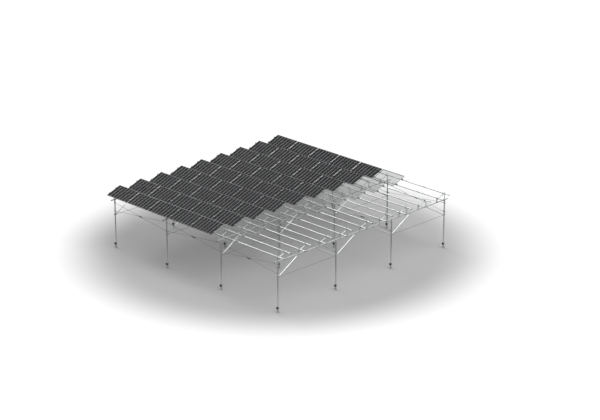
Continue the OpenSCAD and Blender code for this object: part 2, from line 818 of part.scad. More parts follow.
module pin_bolts() color("silver") {
    ears = ear_gap + 2 * ear_t;
    for (i = [0:bays_x]) {
        for (knee = KNEES) {
            translate([frame_x(i), knee[0], knee_pin_z]) along_x() pin_bolt(tongue_t + 2 * ear_t);
            translate([frame_x(i), knee[1], beam_z - knee_drop]) along_x() pin_bolt(tongue_t + 2 * shell_wall);
        }
        for (j = [0, bays_y - 1], y = [post_y(j) + ear_bolt, post_y(j + 1) - ear_bolt])
            translate([frame_x(i), y, tie_pin_z]) along_x() pin_bolt(tongue_t + 2 * ear_t);
    }
    for (slope = [-1, 1]) at_cross_bays(slope) for (z = [0, brace_span])
        translate([0, -slope * ears / 2, z]) along_y() pin_bolt(ears + rod_eye_t);
}

ground_sleeves();
foot_hubs();
foot_caps();
post_heads();
beam_straps();
pipe_plugs();
knee_collars();
knee_braces();
knee_hangers();
tie_rods();
brace_collars();
cross_rods();
turnbuckles();
bracket_rails();
rail_caps();
front_legs();
rear_legs();
crossovers();
purlin_sleeves();
glass_panes();
clear_module_frames();
junction_boxes();
module_clamps();
pin_bolts();
for (f = FRAMES) {
    posts_frame(f);
    main_beam(f);
}
for (k = ROWS) {
    purlins_row(k);
    module_frames_row(k);
    cell_sheets_row(k);
}
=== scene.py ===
"""Dresses a raised solar canopy: cells and ribbons under the glass, bolts, set screws, lock nuts, welds,
junction boxes and the finishes of every pipe, fitting, frame and pane. All lengths are in metres."""

import json
import math

import bpy
import numpy as np
from bpy.props import FloatProperty, FloatVectorProperty, IntProperty, PointerProperty
from bpy.types import Operator, Panel, PropertyGroup
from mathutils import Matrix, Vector


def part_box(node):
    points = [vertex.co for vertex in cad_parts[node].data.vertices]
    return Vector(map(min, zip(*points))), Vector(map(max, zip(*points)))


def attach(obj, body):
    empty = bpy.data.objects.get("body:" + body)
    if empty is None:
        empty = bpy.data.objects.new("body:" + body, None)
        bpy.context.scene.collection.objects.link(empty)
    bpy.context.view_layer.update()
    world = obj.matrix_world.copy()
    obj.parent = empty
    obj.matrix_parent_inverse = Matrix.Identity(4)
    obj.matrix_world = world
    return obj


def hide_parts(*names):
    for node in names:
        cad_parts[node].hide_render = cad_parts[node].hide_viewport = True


bl_info = {
    "name": "Raised Solar Canopy",
    "version": (1, 0, 0),
    "blender": (4, 5, 0),
    "location": "3D View > Sidebar > Canopy",
    "description": "Adds cells, fasteners, welds and weathered finishes to a pipe canopy with solar panels",
    "category": "Add Mesh",
}

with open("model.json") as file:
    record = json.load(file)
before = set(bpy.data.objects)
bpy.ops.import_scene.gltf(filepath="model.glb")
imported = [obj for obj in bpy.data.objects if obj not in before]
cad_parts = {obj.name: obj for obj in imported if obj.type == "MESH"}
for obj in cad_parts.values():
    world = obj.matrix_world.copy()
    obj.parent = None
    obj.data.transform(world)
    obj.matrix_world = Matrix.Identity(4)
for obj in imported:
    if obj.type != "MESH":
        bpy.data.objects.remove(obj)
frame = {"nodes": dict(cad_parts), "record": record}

# The grid of the structure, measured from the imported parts
FRAME_COUNT = sum(name.startswith("main_beam_") for name in frame["nodes"])
ROW_COUNT = sum(name.startswith("purlins_row_") for name in frame["nodes"])
FRAME_X = np.array([sum(c.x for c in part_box(f"main_beam_{f}")) / 2 for f in range(1, FRAME_COUNT + 1)])
BEAM_Z = sum(c.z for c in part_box("main_beam_1")) / 2
PIPE_R = (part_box("main_beam_1")[1].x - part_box("main_beam_1")[0].x) / 2
POST_LOW, POST_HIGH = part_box("posts_frame_1")
POST_Y = np.linspace(POST_LOW.y + PIPE_R, POST_HIGH.y - PIPE_R, 4)
POST_TOP = POST_HIGH.z
ROW_Y = np.array([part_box(f"purlins_row_{k}")[0].y + PIPE_R for k in range(1, ROW_COUNT + 1)])
PURLIN_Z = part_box("purlins_row_1")[0].z + PIPE_R

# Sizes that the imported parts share. On a row, s runs up the slope from the lower purlin.
TILT = math.radians(20)
PURLIN_GAP = 0.495
PURLINS_S = np.array([0.0, PURLIN_GAP])
SLEEVES_X = np.array([4.92, -1.08])
BRACKET_BASE = 0.6
RAIL_DROP = 0.0693
FRONT_LEG_S = -0.05
REAR_LEG_S = (BRACKET_BASE - RAIL_DROP * math.sin(TILT)) / math.cos(TILT)
FRONT_LEG_BACK = 0.0233
LEG_PAD_Z = BEAM_Z + 0.04215
STRUT_R = 0.0212
EAR_BOLT = 0.05715
EAR_T = 0.008
EAR_GAP = 0.003
KNEE_GAP = 0.008
KNEE_Z = 1.937
KNEE_BOLT_RISE = 0.018
BRACE_LOW, BRACE_HIGH = 2.12, 2.61
ROD_SIDE = 0.0145
BUCKLE_LEN = 0.25
HUB_Z = 0.252
HUB_HALF = 0.04215
SLEEVE_R = 0.03615
FLANGE_T = 0.01
SOCKET_R = 0.03825

# The modules: their places, and the layers between the glass and the back
MODULE_PITCH = 1.666
MODULE_EDGE = -6.664
MODULE_INSET = 0.035
MODULE_LOW_S = -0.2425
MODULE_SEAT = 0.05
MODULE_W, MODULE_L = 1.596, 0.98
DARK_COUNT = 5
CLAMP_TOP = 0.09
GLASS_UNDERSIDE = MODULE_SEAT + 0.0274
SHEET_MARGIN = 0.015
SHEET_W, SHEET_L = MODULE_W - 2 * SHEET_MARGIN, MODULE_L - 2 * SHEET_MARGIN
STRING_COUNT = 7
STRING_GAP = 0.028
STRING_PITCH = (SHEET_W + STRING_GAP) / STRING_COUNT
CELL_W = STRING_PITCH - STRING_GAP
BUS_W = 0.006
JBOX_W, JBOX_L, JBOX_H = 0.12, 0.06, 0.018
JBOX_EDGE = 0.09
DARK_MODULES_X = MODULE_EDGE + MODULE_INSET + MODULE_PITCH * np.arange(DARK_COUNT)
CLEAR_LOW_X = MODULE_EDGE + MODULE_PITCH * DARK_COUNT

# Limits of the layers behind the glass, measured from its underside
CELL_LAYER = (-0.0004, -0.0001)
RIBBON_LAYER = (-0.00085, -0.0005)
FILM_LAYER = (-0.001, -0.0009)

# Depth of the relief of each kind of surface
ZINC_RELIEF, CAST_RELIEF, MOULDED_RELIEF, FINE_RELIEF = 0.0004, 0.0006, 0.0002, 0.00005

# Tint of a clear pane where its dust is thin and where it is dense
PANE_THIN = (0.41, 0.414, 0.414)
PANE_DENSE = (0.31, 0.313, 0.313)

# Lines printed on a cell: their pitch, width and colour
FINGER_PITCH, FINGER_W = 0.0018, 0.00012
BUSBAR_PITCH, BUSBAR_W = 0.0409, 0.0012
PRINTED_LINE = (0.04, 0.04, 0.043)

# The stage: the floor keeps its near colour up to the first distance and has its far colour past the second.
# The darker near colour is partly a grey ground round the canopy and partly a painted shadow pool.
# The surroundings have one level as light and another where they are seen or mirrored. A lamp is given by its
# name, the direction towards it, its strength and the angle that softens its shadows.
FLOOR_NEAR_R, FLOOR_FAR_R = 8.5, 13.0
SKY_LIGHT, SKY_SEEN = 0.62, 1.0
LAMPS = (
    ("key", (0.6, 0.0, 0.8), 1.5, math.radians(50)),
    ("rim", (-0.66, 0.03, 0.75), 0.9, math.radians(24)),
)

# The viewpoint: where the camera stands, and its turn round the object and downwards
CAMERA_PLACE = (80.935, -79.085, 44.979)
CAMERA_TURN = math.radians(45.104)
CAMERA_DROP = math.radians(20.714)
CAMERA_LENS = 134.06
CAMERA_SENSOR = 36
CAMERA_REACH = 900


class CanopySizes(PropertyGroup):
    """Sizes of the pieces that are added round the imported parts."""

    cell_rows: IntProperty(name="Cell rows", description="Cells along each string", default=8, min=4, max=16)
    cell_gap: FloatProperty(
        name="Cell gap", description="Gap between two cells of a string", default=0.0008, unit="LENGTH"
    )
    cell_corner: FloatProperty(
        name="Cell corner", description="Cut at the corners of a cell", default=0.002, unit="LENGTH"
    )
    bolt_corners: FloatProperty(
        name="Bolt head",
        description="Width of a clamp bolt's head across corners",
        default=0.0208,
        unit="LENGTH",
    )
    bolt_head: FloatProperty(
        name="Head height", description="Height of a clamp bolt's head", default=0.0075, unit="LENGTH"
    )
    bolt_nut: FloatProperty(
        name="Nut height", description="Height of a clamp bolt's nut", default=0.0095, unit="LENGTH"
    )
    screw_corners: FloatProperty(
        name="Set screw",
        description="Width of a set screw's head across corners",
        default=0.015,
        unit="LENGTH",
    )
    screw_head: FloatProperty(
        name="Set screw height", description="Height of a set screw's head", default=0.0055, unit="LENGTH"
    )
    weld: FloatProperty(name="Weld", description="Radius of a weld bead", default=0.0045, unit="LENGTH")
    floor: FloatProperty(name="Floor", description="Half width of the floor", default=260.0, unit="LENGTH")


class CanopyColours(PropertyGroup):
    """Colours of the finishes."""

    zinc_light: FloatVectorProperty(
        name="Light zinc",
        description="Bright crystals of the zinc coat",
        subtype="COLOR",
        default=(0.42, 0.435, 0.435),
    )
    zinc_dark: FloatVectorProperty(
        name="Dark zinc",
        description="Dull crystals of the zinc coat",
        subtype="COLOR",
        default=(0.26, 0.273, 0.273),
    )
    casting: FloatVectorProperty(
        name="Casting", description="Cast fittings", subtype="COLOR", default=(0.2, 0.21, 0.21)
    )
    plastic: FloatVectorProperty(
        name="Plastic",
        description="Moulded caps, plugs and boxes",
        subtype="COLOR",
        default=(0.012, 0.012, 0.013),
    )
    frame: FloatVectorProperty(
        name="Frame",
        description="Black anodised panel frames",
        subtype="COLOR",
        default=(0.012, 0.012, 0.013),
    )
    plain_frame: FloatVectorProperty(
        name="Plain frame",
        description="Plain anodised frames and clamps",
        subtype="COLOR",
        default=(0.3, 0.31, 0.31),
    )
    cell: FloatVectorProperty(
        name="Cell", description="Solar cells", subtype="COLOR", default=(0.0185, 0.019, 0.0205)
    )
    # Grey of the rear film, set to stand in for the shaded ground seen through the gaps between strings:
    # painted shade
    film: FloatVectorProperty(
        name="Film", description="Film behind the cells", subtype="COLOR", default=(0.23, 0.23, 0.232)
    )
    floor_near: FloatVectorProperty(
        name="Near floor",
        description="Studio floor below the canopy",
        subtype="COLOR",
        default=(0.41, 0.41, 0.41),
    )
    floor_far: FloatVectorProperty(
        name="Far floor", description="Studio floor further out", subtype="COLOR", default=(0.88, 0.88, 0.88)
    )


# Shapes. A shape is (points, corners, sizes): the points, the point of every face's corner, and each face's
# number of corners.


def stacked(rings):
    """A closed body from rings of points stacked upwards, each ring counter-clockwise seen from above.
    Side face (i, j) joins points j and j + 1 of ring i to the same two points of ring i + 1, and a flat
    face closes the first and the last ring."""
    levels, sides = rings.shape[:2]
    i, j = np.meshgrid(np.arange(levels - 1), np.arange(sides), indexing="ij")
    here, after = i * sides + j, i * sides + (j + 1) % sides
    quads = np.stack([here, after, after + sides, here + sides], axis=-1).reshape(-1)
    foot = np.arange(sides)[::-1]
    top = np.arange(sides) + (levels - 1) * sides
    sizes = np.concatenate([np.full((levels - 1) * sides, 4), [sides, sides]])
    return rings.reshape(-1, 3), np.concatenate([quads, foot, top]), sizes


def turned(profile, sides, turn=0.0):
    """A body turned about Z: the point at angle a of ring (r, z) is (r cos a, r sin a, z)."""
    r, z = np.array(profile, float).T
    a = turn + np.linspace(0, 2 * np.pi, sides, endpoint=False)
    rings = np.stack([np.outer(r, np.cos(a)), np.outer(r, np.sin(a)), np.outer(z, np.ones(sides))], axis=-1)
    return stacked(rings)


def prism(outline, low, high):
    """An outline in X and Y, counter-clockwise, raised from height low to height high."""
    flat = np.array(outline, float)
    rings = np.stack([np.column_stack([flat, np.full(len(flat), z)]) for z in (low, high)])
    return stacked(rings)


def block(x, y, z):
    """A straight block between pairs of limits along X, Y and Z."""
    return prism([(x[0], y[0]), (x[1], y[0]), (x[1], y[1]), (x[0], y[1])], z[0], z[1])


def weld_ring(ring_r, bead_r, around=30, section=6, ripples=10):
    """A weld bead round a tube: at angle u the section's centre lies ring_r from the axis, and its radius
    is bead_r (1 + 0.12 cos(ripples u)), so that the bead shows its ripples."""
    u, v = np.meshgrid(
        np.linspace(0, 2 * np.pi, around, endpoint=False),
        np.linspace(0, 2 * np.pi, section, endpoint=False),
        indexing="ij",
    )
    bead = bead_r * (1 + 0.12 * np.cos(ripples * u))
    reach = ring_r + bead * np.cos(v)
    points = np.stack([reach * np.cos(u), reach * np.sin(u), bead * np.sin(v)], axis=-1)
    i, j = np.meshgrid(np.arange(around), np.arange(section), indexing="ij")
    i2, j2 = (i + 1) % around, (j + 1) % section
    quads = np.stack([i * section + j, i2 * section + j, i2 * section + j2, i * section + j2], axis=-1)
    return points.reshape(-1, 3), quads.reshape(-1), np.full(around * section, 4)


def joined(*shapes):
    """Several shapes as one: the points are put one after another, and corners count on from them."""
    starts = np.cumsum([0] + [len(s[0]) for s in shapes[:-1]])
    return (
        np.concatenate([s[0] for s in shapes]),
        np.concatenate([s[1] + start for s, start in zip(shapes, starts)]),
        np.concatenate([s[2] for s in shapes]),
    )


def repeated(shape, places, axes=None):
    """A copy of the shape at each place: copy n's point p lands at place n plus axes n times p."""
    points, corners, sizes = shape
    places = np.array(places, float).reshape(-1, 3)
    turned_points = points[None] if axes is None else np.einsum("nij,vj->nvi", axes, points)
    moved = (turned_points + places[:, None]).reshape(-1, 3)
    starts = np.arange(len(places))[:, None] * len(points)
    return moved, (corners[None] + starts).reshape(-1), np.tile(sizes, len(places))


def facing(z_axis, count=1, x_axis=(1.0, 0.0, 0.0)):
    """Count equal sets of axes whose Z points along z_axis and whose X lies near x_axis."""
    z = np.array(z_axis, float) / np.linalg.norm(z_axis)
    y = np.cross(z, x_axis)
    y /= np.linalg.norm(y)
    return np.repeat(np.stack([np.cross(y, z), y, z], axis=-1)[None], count, axis=0)


def spread(*lists):
    """Every combination of the lists' values, one row each."""
    return np.stack([g.reshape(-1) for g in np.meshgrid(*lists, indexing="ij")], axis=-1)


def on_slope(points, row_y):
    """Points of a row's own axes (x, s up the slope, n square to it) as places of the part:
    y = row_y + s cos(tilt) - n sin(tilt) and z = purlin height + s sin(tilt) + n cos(tilt)."""
    x, s, n = np.moveaxis(np.asarray(points, float), -1, 0)
    y = row_y + s * math.cos(TILT) - n * math.sin(TILT)
    z = PURLIN_Z + s * math.sin(TILT) + n * math.cos(TILT)
    return np.stack([x, y, z], axis=-1)


def on_rows(points):
    """The same points on every row, row after row."""
    return np.concatenate([on_slope(points, y) for y in ROW_Y])


def shape_on_rows(shape):
    """A shape in a row's own axes, copied onto every row."""
    points, corners, sizes = shape
    return joined(*[(on_slope(points, y), corners, sizes) for y in ROW_Y])


SLOPE_UP = (0.0, -math.sin(TILT), math.cos(TILT))
SLOPE_DOWN = (0.0, math.sin(TILT), -math.cos(TILT))
SLOPE_FRONT = (0.0, -math.cos(TILT), -math.sin(TILT))


def add_piece(name, shape, finish, replaces=(), smooth=False, flat_places=None):
    """Makes a mesh from a shape, gives it a finish and lets it ride on the structure. Where flat_places
    are given, they are each point's place on its own flat piece, and become the UV map."""
    points, corners, sizes = shape
    mesh = bpy.data.meshes.new(name)
    mesh.vertices.add(len(points))
    mesh.vertices.foreach_set("co", points.astype(np.float32).reshape(-1))
    mesh.loops.add(len(corners))
    mesh.loops.foreach_set("vertex_index", corners.astype(np.int32))
    mesh.polygons.add(len(sizes))
    mesh.polygons.foreach_set("loop_start", np.concatenate([[0], np.cumsum(sizes)[:-1]]).astype(np.int32))
    mesh.polygons.foreach_set("use_smooth", np.full(len(sizes), smooth))
    mesh.update(calc_edges=True)
    if flat_places is not None:
        layer = mesh.uv_layers.new(name="flat")
        layer.data.foreach_set("uv", flat_places[corners].astype(np.float32).reshape(-1))
    mesh.materials.append(finish)
    piece = bpy.data.objects.new(name, mesh)
    bpy.context.scene.collection.objects.link(piece)
    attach(piece, "root")
    if replaces:
        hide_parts(*replaces)


# Finishes


def fill(tree, node, **inputs):
    """Sets a node's inputs to values, or links them to sockets. A key is the input's name with underscores
    for spaces, or the letter i and its number."""
    for key, value in inputs.items():
        socket = node.inputs[int(key[1:]) if key[1:].isdigit() else key.replace("_", " ")]
        if isinstance(value, bpy.types.NodeSocket):
            tree.links.new(value, socket)
        else:
            socket.default_value = value


def wire(tree, kind, settings=None, **inputs):
    """Adds a node to a tree. Settings are the node's own choices, and inputs are values or sockets."""
    made = tree.nodes.new(kind)
    for key, value in (settings or {}).items():
        setattr(made, key, value)
    fill(tree, made, **inputs)
    return made


def maths(tree, operation, *values, clamp=False):
    """The result of one operation on numbers."""
    settings = {"operation": operation, "use_clamp": clamp}
    return wire(tree, "ShaderNodeMath", settings, **{f"i{k}": v for k, v in enumerate(values)}).outputs[0]


def scaled(tree, colour, amount):
    """A colour times an amount."""
    return wire(tree, "ShaderNodeVectorMath", {"operation": "SCALE"}, i0=colour, Scale=amount).outputs[0]


def mixed(tree, share, first, second):
    """The colour between two colours, by the share of the second."""
    return wire(tree, "ShaderNodeMix", {"data_type": "RGBA"}, i0=share, i6=first, i7=second).outputs[2]


def mixed_value(tree, share, first, second):
    """The number between two numbers, by the share of the second."""
    return wire(tree, "ShaderNodeMix", {"data_type": "FLOAT"}, i0=share, i2=first, i3=second).outputs[0]


def smooth_rise(tree, value, start, end):
    """A mask that rises smoothly from 0 at the start value to 1 at the end value."""
    smooth = {"interpolation_type": "SMOOTHSTEP"}
    return wire(tree, "ShaderNodeMapRange", smooth, Value=value, i1=start, i2=end, i3=0.0, i4=1.0).outputs[0]


def new_group(name, inputs, outputs):
    """An empty shader group with named sockets: (name, type, default) for an input, (name, type) for an
    output."""
    tree = bpy.data.node_groups.new(name, "ShaderNodeTree")
    for label, kind, default in inputs:
        socket = tree.interface.new_socket(name=label, in_out="INPUT", socket_type=kind)
        if default is not None:
            socket.default_value = default
    for label, kind in outputs:
        tree.interface.new_socket(name=label, in_out="OUTPUT", socket_type=kind)
    return tree, tree.nodes.new("NodeGroupInput").outputs, tree.nodes.new("NodeGroupOutput")


def use_group(tree, name, **inputs):
    """Places a shader group in a material with its own values."""
    return wire(tree, "ShaderNodeGroup", {"node_tree": bpy.data.node_groups[name]}, **inputs).outputs


def zinc_group():
    """Hot dip zinc: angular crystals of differing tone, with broad dull patches over them and a fine
    relief."""
    tree, given, out = new_group(
        "Zinc Crystals",
        [
            ("Place", "NodeSocketVector", None),
            ("Crystal Size", "NodeSocketFloat", 0.012),
            ("Light", "NodeSocketColor", (0.5, 0.5, 0.5, 1)),
            ("Dark", "NodeSocketColor", (0.3, 0.3, 0.3, 1)),
            ("Dull", "NodeSocketFloat", 0.5),
        ],
        [("Colour", "NodeSocketColor"), ("Roughness", "NodeSocketFloat"), ("Relief", "NodeSocketFloat")],
    )
    patch_share, polish = 0.45, -0.18
    rate = maths(tree, "DIVIDE", 1.0, given["Crystal Size"])
    crystals = wire(tree, "ShaderNodeTexVoronoi", Vector=given["Place"], Scale=rate)
    tone = wire(tree, "ShaderNodeSeparateColor", Color=crystals.outputs["Color"]).outputs
    patches = wire(
        tree, "ShaderNodeTexNoise", Vector=given["Place"], Scale=3.5, Detail=3.0, Roughness=0.55
    ).outputs["Fac"]
    brightness = mixed_value(tree, patch_share, tone[0], patches)
    fill(
        tree,
        out,
        Colour=mixed(tree, brightness, given["Dark"], given["Light"]),
        Roughness=maths(tree, "MULTIPLY_ADD", brightness, polish, given["Dull"]),
        Relief=tone[1],
    )


def grain_group():
    """Moulded, cast or anodised skin: a fine even grain with faint broad variation of tone."""
    tree, given, out = new_group(
        "Skin Grain",
        [
            ("Place", "NodeSocketVector", None),
            ("Grain Size", "NodeSocketFloat", 0.002),
            ("Colour", "NodeSocketColor", (0.02, 0.02, 0.02, 1)),
            ("Variation", "NodeSocketFloat", 0.3),
            ("Roughness", "NodeSocketFloat", 0.5),
        ],
        [("Colour", "NodeSocketColor"), ("Roughness", "NodeSocketFloat"), ("Relief", "NodeSocketFloat")],
    )
    lowest_tone, grain_roughness = 0.8, 0.15
    rate = maths(tree, "DIVIDE", 1.0, given["Grain Size"])
    grain = wire(tree, "ShaderNodeTexNoise", Vector=given["Place"], Scale=rate, Detail=4.0).outputs["Fac"]
    broad = wire(tree, "ShaderNodeTexNoise", Vector=given["Place"], Scale=6.0, Detail=2.0).outputs["Fac"]
    tone = maths(tree, "ADD", maths(tree, "MULTIPLY", broad, given["Variation"]), lowest_tone)
    fill(
        tree,
        out,
        Colour=scaled(tree, given["Colour"], tone),
        Roughness=maths(tree, "MULTIPLY_ADD", grain, grain_roughness, given["Roughness"]),
        Relief=grain,
    )


def painted_bounce_group():
    """Painted bounce light from the floor: a paler colour, full at the ground, thinning out upwards with a
    ragged upper limit.
    """
    tree, given, out = new_group(
        "Painted Floor Bounce",
        [
            ("Place", "NodeSocketVector", None),
            ("Height", "NodeSocketFloat", 0.5),
            ("Strength", "NodeSocketFloat", 0.4),
            ("Clean", "NodeSocketColor", (0.5, 0.5, 0.5, 1)),
            ("BounceTint", "NodeSocketColor", (0.6, 0.595, 0.58, 1)),
        ],
        [("Colour", "NodeSocketColor")],
    )
    height = wire(tree, "ShaderNodeSeparateXYZ", Vector=given["Place"]).outputs[2]
    fade = maths(tree, "SUBTRACT", 1.0, maths(tree, "DIVIDE", height, given["Height"]), clamp=True)
    specks = wire(
        tree, "ShaderNodeTexNoise", Vector=given["Place"], Scale=45.0, Detail=5.0, Roughness=0.7
    ).outputs["Fac"]
    mask = maths(tree, "MULTIPLY", maths(tree, "MULTIPLY", fade, specks), given["Strength"], clamp=True)
    fill(tree, out, Colour=mixed(tree, mask, given["Clean"], given["BounceTint"]))


def painted_underside_group():
    """Painted underside shade: the colour of surfaces that face down is darkened, standing in for the shade
    below them. The mask rises from 0 where the surface leans back to 1 where it faces the ground."""
    tree, given, out = new_group(
        "Painted Underside Shade",
        [
            ("Facing", "NodeSocketVector", None),
            ("Clean", "NodeSocketColor", (0.5, 0.5, 0.5, 1)),
            ("Dulling", "NodeSocketFloat", 0.5),
        ],
        [("Colour", "NodeSocketColor")],
    )
    # Painted shade: faces whose normal rises above the first height keep their colour, and those below the
    # second are fully shaded
    lit_z, full_shade_z = 0.45, -0.3
    upwards = wire(tree, "ShaderNodeSeparateXYZ", Vector=given["Facing"]).outputs[2]
    mask = smooth_rise(tree, upwards, lit_z, full_shade_z)
    left = maths(tree, "SUBTRACT", 1.0, maths(tree, "MULTIPLY", mask, given["Dulling"]))
    fill(tree, out, Colour=scaled(tree, given["Clean"], left))


def start_finish(name, metallic, specular=0.5, coat=0.0):
    """A material with its shader and the place on the object, ready for a pattern."""
    finish = bpy.data.materials.new(name)
    finish.use_nodes = True
    tree = finish.node_tree
    tree.nodes.clear()
    shader = wire(
        tree,
        "ShaderNodeBsdfPrincipled",
        Metallic=metallic,
        Specular_IOR_Level=specular,
        Coat_Weight=coat,
    )
    place = wire(tree, "ShaderNodeTexCoord").outputs["Object"]
    wire(tree, "ShaderNodeOutputMaterial", Surface=shader.outputs[0])
    return finish, tree, shader, place


def rgba(colour, level=1.0):
    """A colour at a level, with full alpha."""
    return (*[c * level for c in colour], 1.0)


def use_pattern(tree, shader, pattern, relief, colour=None):
    """Feeds a pattern's roughness, its relief at the given depth, and its colour or the given one to the
    shader."""
    bump = wire(tree, "ShaderNodeBump", Strength=0.6, Distance=relief, Height=pattern["Relief"])
    fill(
        tree,
        shader,
        Base_Color=colour or pattern["Colour"],
        Roughness=pattern["Roughness"],
        Normal=bump.outputs[0],
    )


def zinc_finish(
    name,
    colours,
    level=1.0,
    crystal=0.012,
    dull=0.45,
    metallic=0.5,
    underside_shade=0.5,
    bounce_light=0.0,
    bounce_height=0.5,
):
    """Zinc coated steel with painted shade on its downward faces. Where the bounce strength is above nothing,
    it also turns paler towards the ground with painted bounce light from the floor.
    """
    finish, tree, shader, place = start_finish(name, metallic)
    pattern = use_group(
        tree,
        "Zinc Crystals",
        Place=place,
        Crystal_Size=crystal,
        Light=rgba(colours.zinc_light, level),
        Dark=rgba(colours.zinc_dark, level),
        Dull=dull,
    )
    # Painted shade: the colour of downward faces is darkened
    colour = use_group(
        tree,
        "Painted Underside Shade",
        Facing=wire(tree, "ShaderNodeNewGeometry").outputs["Normal"],
        Clean=pattern["Colour"],
        Dulling=underside_shade,
    )["Colour"]
    # Painted bounce light from the floor: the colour turns paler towards the ground
    if bounce_light:
        colour = use_group(
            tree, "Painted Floor Bounce", Place=place, Height=bounce_height, Strength=bounce_light, Clean=colour
        )["Colour"]
    use_pattern(tree, shader, pattern, ZINC_RELIEF, colour)
    return finish


def grain_finish(
    name,
    colour,
    grain,
    variation,
    roughness,
    metallic=0.0,
    relief=MOULDED_RELIEF,
    specular=0.5,
    coat=0.0,
):
    """A moulded, cast or anodised skin."""
    finish, tree, shader, place = start_finish(name, metallic, specular, coat)
    pattern = use_group(
        tree,
        "Skin Grain",
        Place=place,
        Grain_Size=grain,
        Colour=rgba(colour),
        Variation=variation,
        Roughness=roughness,
    )
    use_pattern(tree, shader, pattern, relief)
    return finish


def glass_finish():
    """Pane glass: clear and hardly mirroring over the dark panels, tinted grey, dusty and mirroring over the
    clear column of panels. Light on its way to what lies below passes it almost whole."""
    finish, tree, shader, place = start_finish("Pane Glass", 0.0)
    faint_gloss, passing_alpha = 0.02, 0.05
    along = wire(tree, "ShaderNodeSeparateXYZ", Vector=place).outputs[0]
    clear_side = maths(tree, "GREATER_THAN", along, CLEAR_LOW_X)
    dust = wire(tree, "ShaderNodeTexNoise", Vector=place, Scale=2.2, Detail=5.0, Roughness=0.6).outputs["Fac"]
    grey = mixed(tree, dust, rgba(PANE_THIN), rgba(PANE_DENSE))
    looked_at = wire(tree, "ShaderNodeLightPath").outputs["Is Camera Ray"]
    fill(
        tree,
        shader,
        Transmission_Weight=1.0,
        IOR=1.01,
        Roughness=0.0,
        Coat_Roughness=0.05,
        Coat_IOR=1.6,
        Base_Color=mixed(tree, clear_side, (1, 1, 1, 1), grey),
        Coat_Weight=mixed_value(tree, clear_side, faint_gloss, 1.0),
        Alpha=maths(tree, "MULTIPLY_ADD", looked_at, 1 - passing_alpha, passing_alpha),
    )
    return finish


def cell_finish(colours):
    """A solar cell: fine fingers across it and busbars along it, drawn from the place on the cell itself."""
    finish, tree, shader, place = start_finish("Solar Cell", 0.0, specular=0.03)
    flat = wire(tree, "ShaderNodeUVMap", {"uv_map": "flat"}).outputs[0]
    axes = wire(tree, "ShaderNodeSeparateXYZ", Vector=flat).outputs

    def lines(along, pitch, width):
        """A mask that is 1 on lines of the given width, one line every pitch."""
        return maths(tree, "GREATER_THAN", maths(tree, "PINGPONG", along, pitch / 2), pitch / 2 - width / 2)

    printed = maths(
        tree,
        "MAXIMUM",
        lines(axes[1], FINGER_PITCH, FINGER_W),
        lines(axes[0], BUSBAR_PITCH, BUSBAR_W),
    )
    tint = wire(tree, "ShaderNodeTexNoise", Vector=place, Scale=1.7, Detail=1.0).outputs["Fac"]
    silicon = mixed(tree, tint, rgba(colours.cell, 0.85), rgba(colours.cell, 1.2))
    rough = wire(tree, "ShaderNodeMapRange", Value=tint, i1=0.3, i2=0.7, i3=0.38, i4=0.5)
    fill(
        tree,
        shader,
        Base_Color=mixed(tree, printed, silicon, rgba(PRINTED_LINE)),
        Roughness=rough.outputs[0],
    )
    return finish


def make_finishes(colours):
    """Every finish by the name of its material slot, and those of single parts by the part's name."""
    zinc_group()
    grain_group()
    painted_bounce_group()
    painted_underside_group()
    return {
        # Every zinc finish darkens its downward faces by its underside shade, which is a painted shade
        "galvanised": zinc_finish("Galvanised Fitting", colours, level=1.35, bounce_light=0.1),
        # Posts turn paler towards the ground with strong painted bounce light from the floor
        "post_pipe": zinc_finish(
            "Post Zinc", colours, level=0.66, crystal=0.016, underside_shade=0.18, bounce_light=1.8, bounce_height=1.5
        ),
        "beam_pipe": zinc_finish("Beam Zinc", colours, level=1.6, crystal=0.016, underside_shade=0.85),
        # Purlin zinc is a brighter copy of the same zinc, so that the tops keep a bright highlight over the
        # painted underside shade: painted light
        "purlin_pipe": zinc_finish(
            "Purlin Zinc", colours, level=1.55, crystal=0.014, dull=0.42, metallic=0.8, underside_shade=0.8
        ),
        # Rail and brace zinc are brighter copies of the same zinc, with the braces brightest, standing in for
        # their highlights: painted light
        "bracket_rails": zinc_finish("Rail Zinc", colours, level=1.6, dull=0.4, underside_shade=0.7),
        "brace_tube": zinc_finish("Brace Zinc", colours, level=1.95, dull=0.38, underside_shade=0.65),
        "rod_steel": zinc_finish("Rod Zinc", colours, level=0.35, crystal=0.006, dull=0.5),
        "bolt_steel": zinc_finish("Bolt Zinc", colours, level=0.9, crystal=0.003, dull=0.4, metallic=0.6),
        "cast_fitting": grain_finish(
            "Cast Fitting",
            colours.casting,
            grain=0.003,
            variation=0.4,
            roughness=0.5,
            metallic=0.3,
            relief=CAST_RELIEF,
        ),
        "black_plastic": grain_finish(
            "Moulded Plastic", colours.plastic, grain=0.0015, variation=0.4, roughness=0.45, specular=0.2
        ),
        "black_steel": grain_finish(
            "Blackened Forging",
            colours.plastic,
            grain=0.004,
            variation=0.6,
            roughness=0.42,
            metallic=0.3,
            relief=CAST_RELIEF,
        ),
        "black_frame": grain_finish(
            "Black Anodised",
            colours.frame,
            grain=0.001,
            variation=0.3,
            roughness=0.3,
            relief=FINE_RELIEF,
            specular=0.8,
            coat=0.4,
        ),
        "plain_frame": grain_finish(
            "Plain Anodised",
            colours.plain_frame,
            grain=0.001,
            variation=0.3,
            roughness=0.35,
            metallic=0.5,
            relief=FINE_RELIEF,
        ),
        "rear_film": grain_finish(
            "Rear Film", colours.film, grain=0.004, variation=0.15, roughness=0.6, relief=FINE_RELIEF
        ),
        "panel_glass": glass_finish(),
        "solar_cell": cell_finish(colours),
    }


FINISHES = {}


# Bodies of the small hardware. A profile is a list of (radius, height).


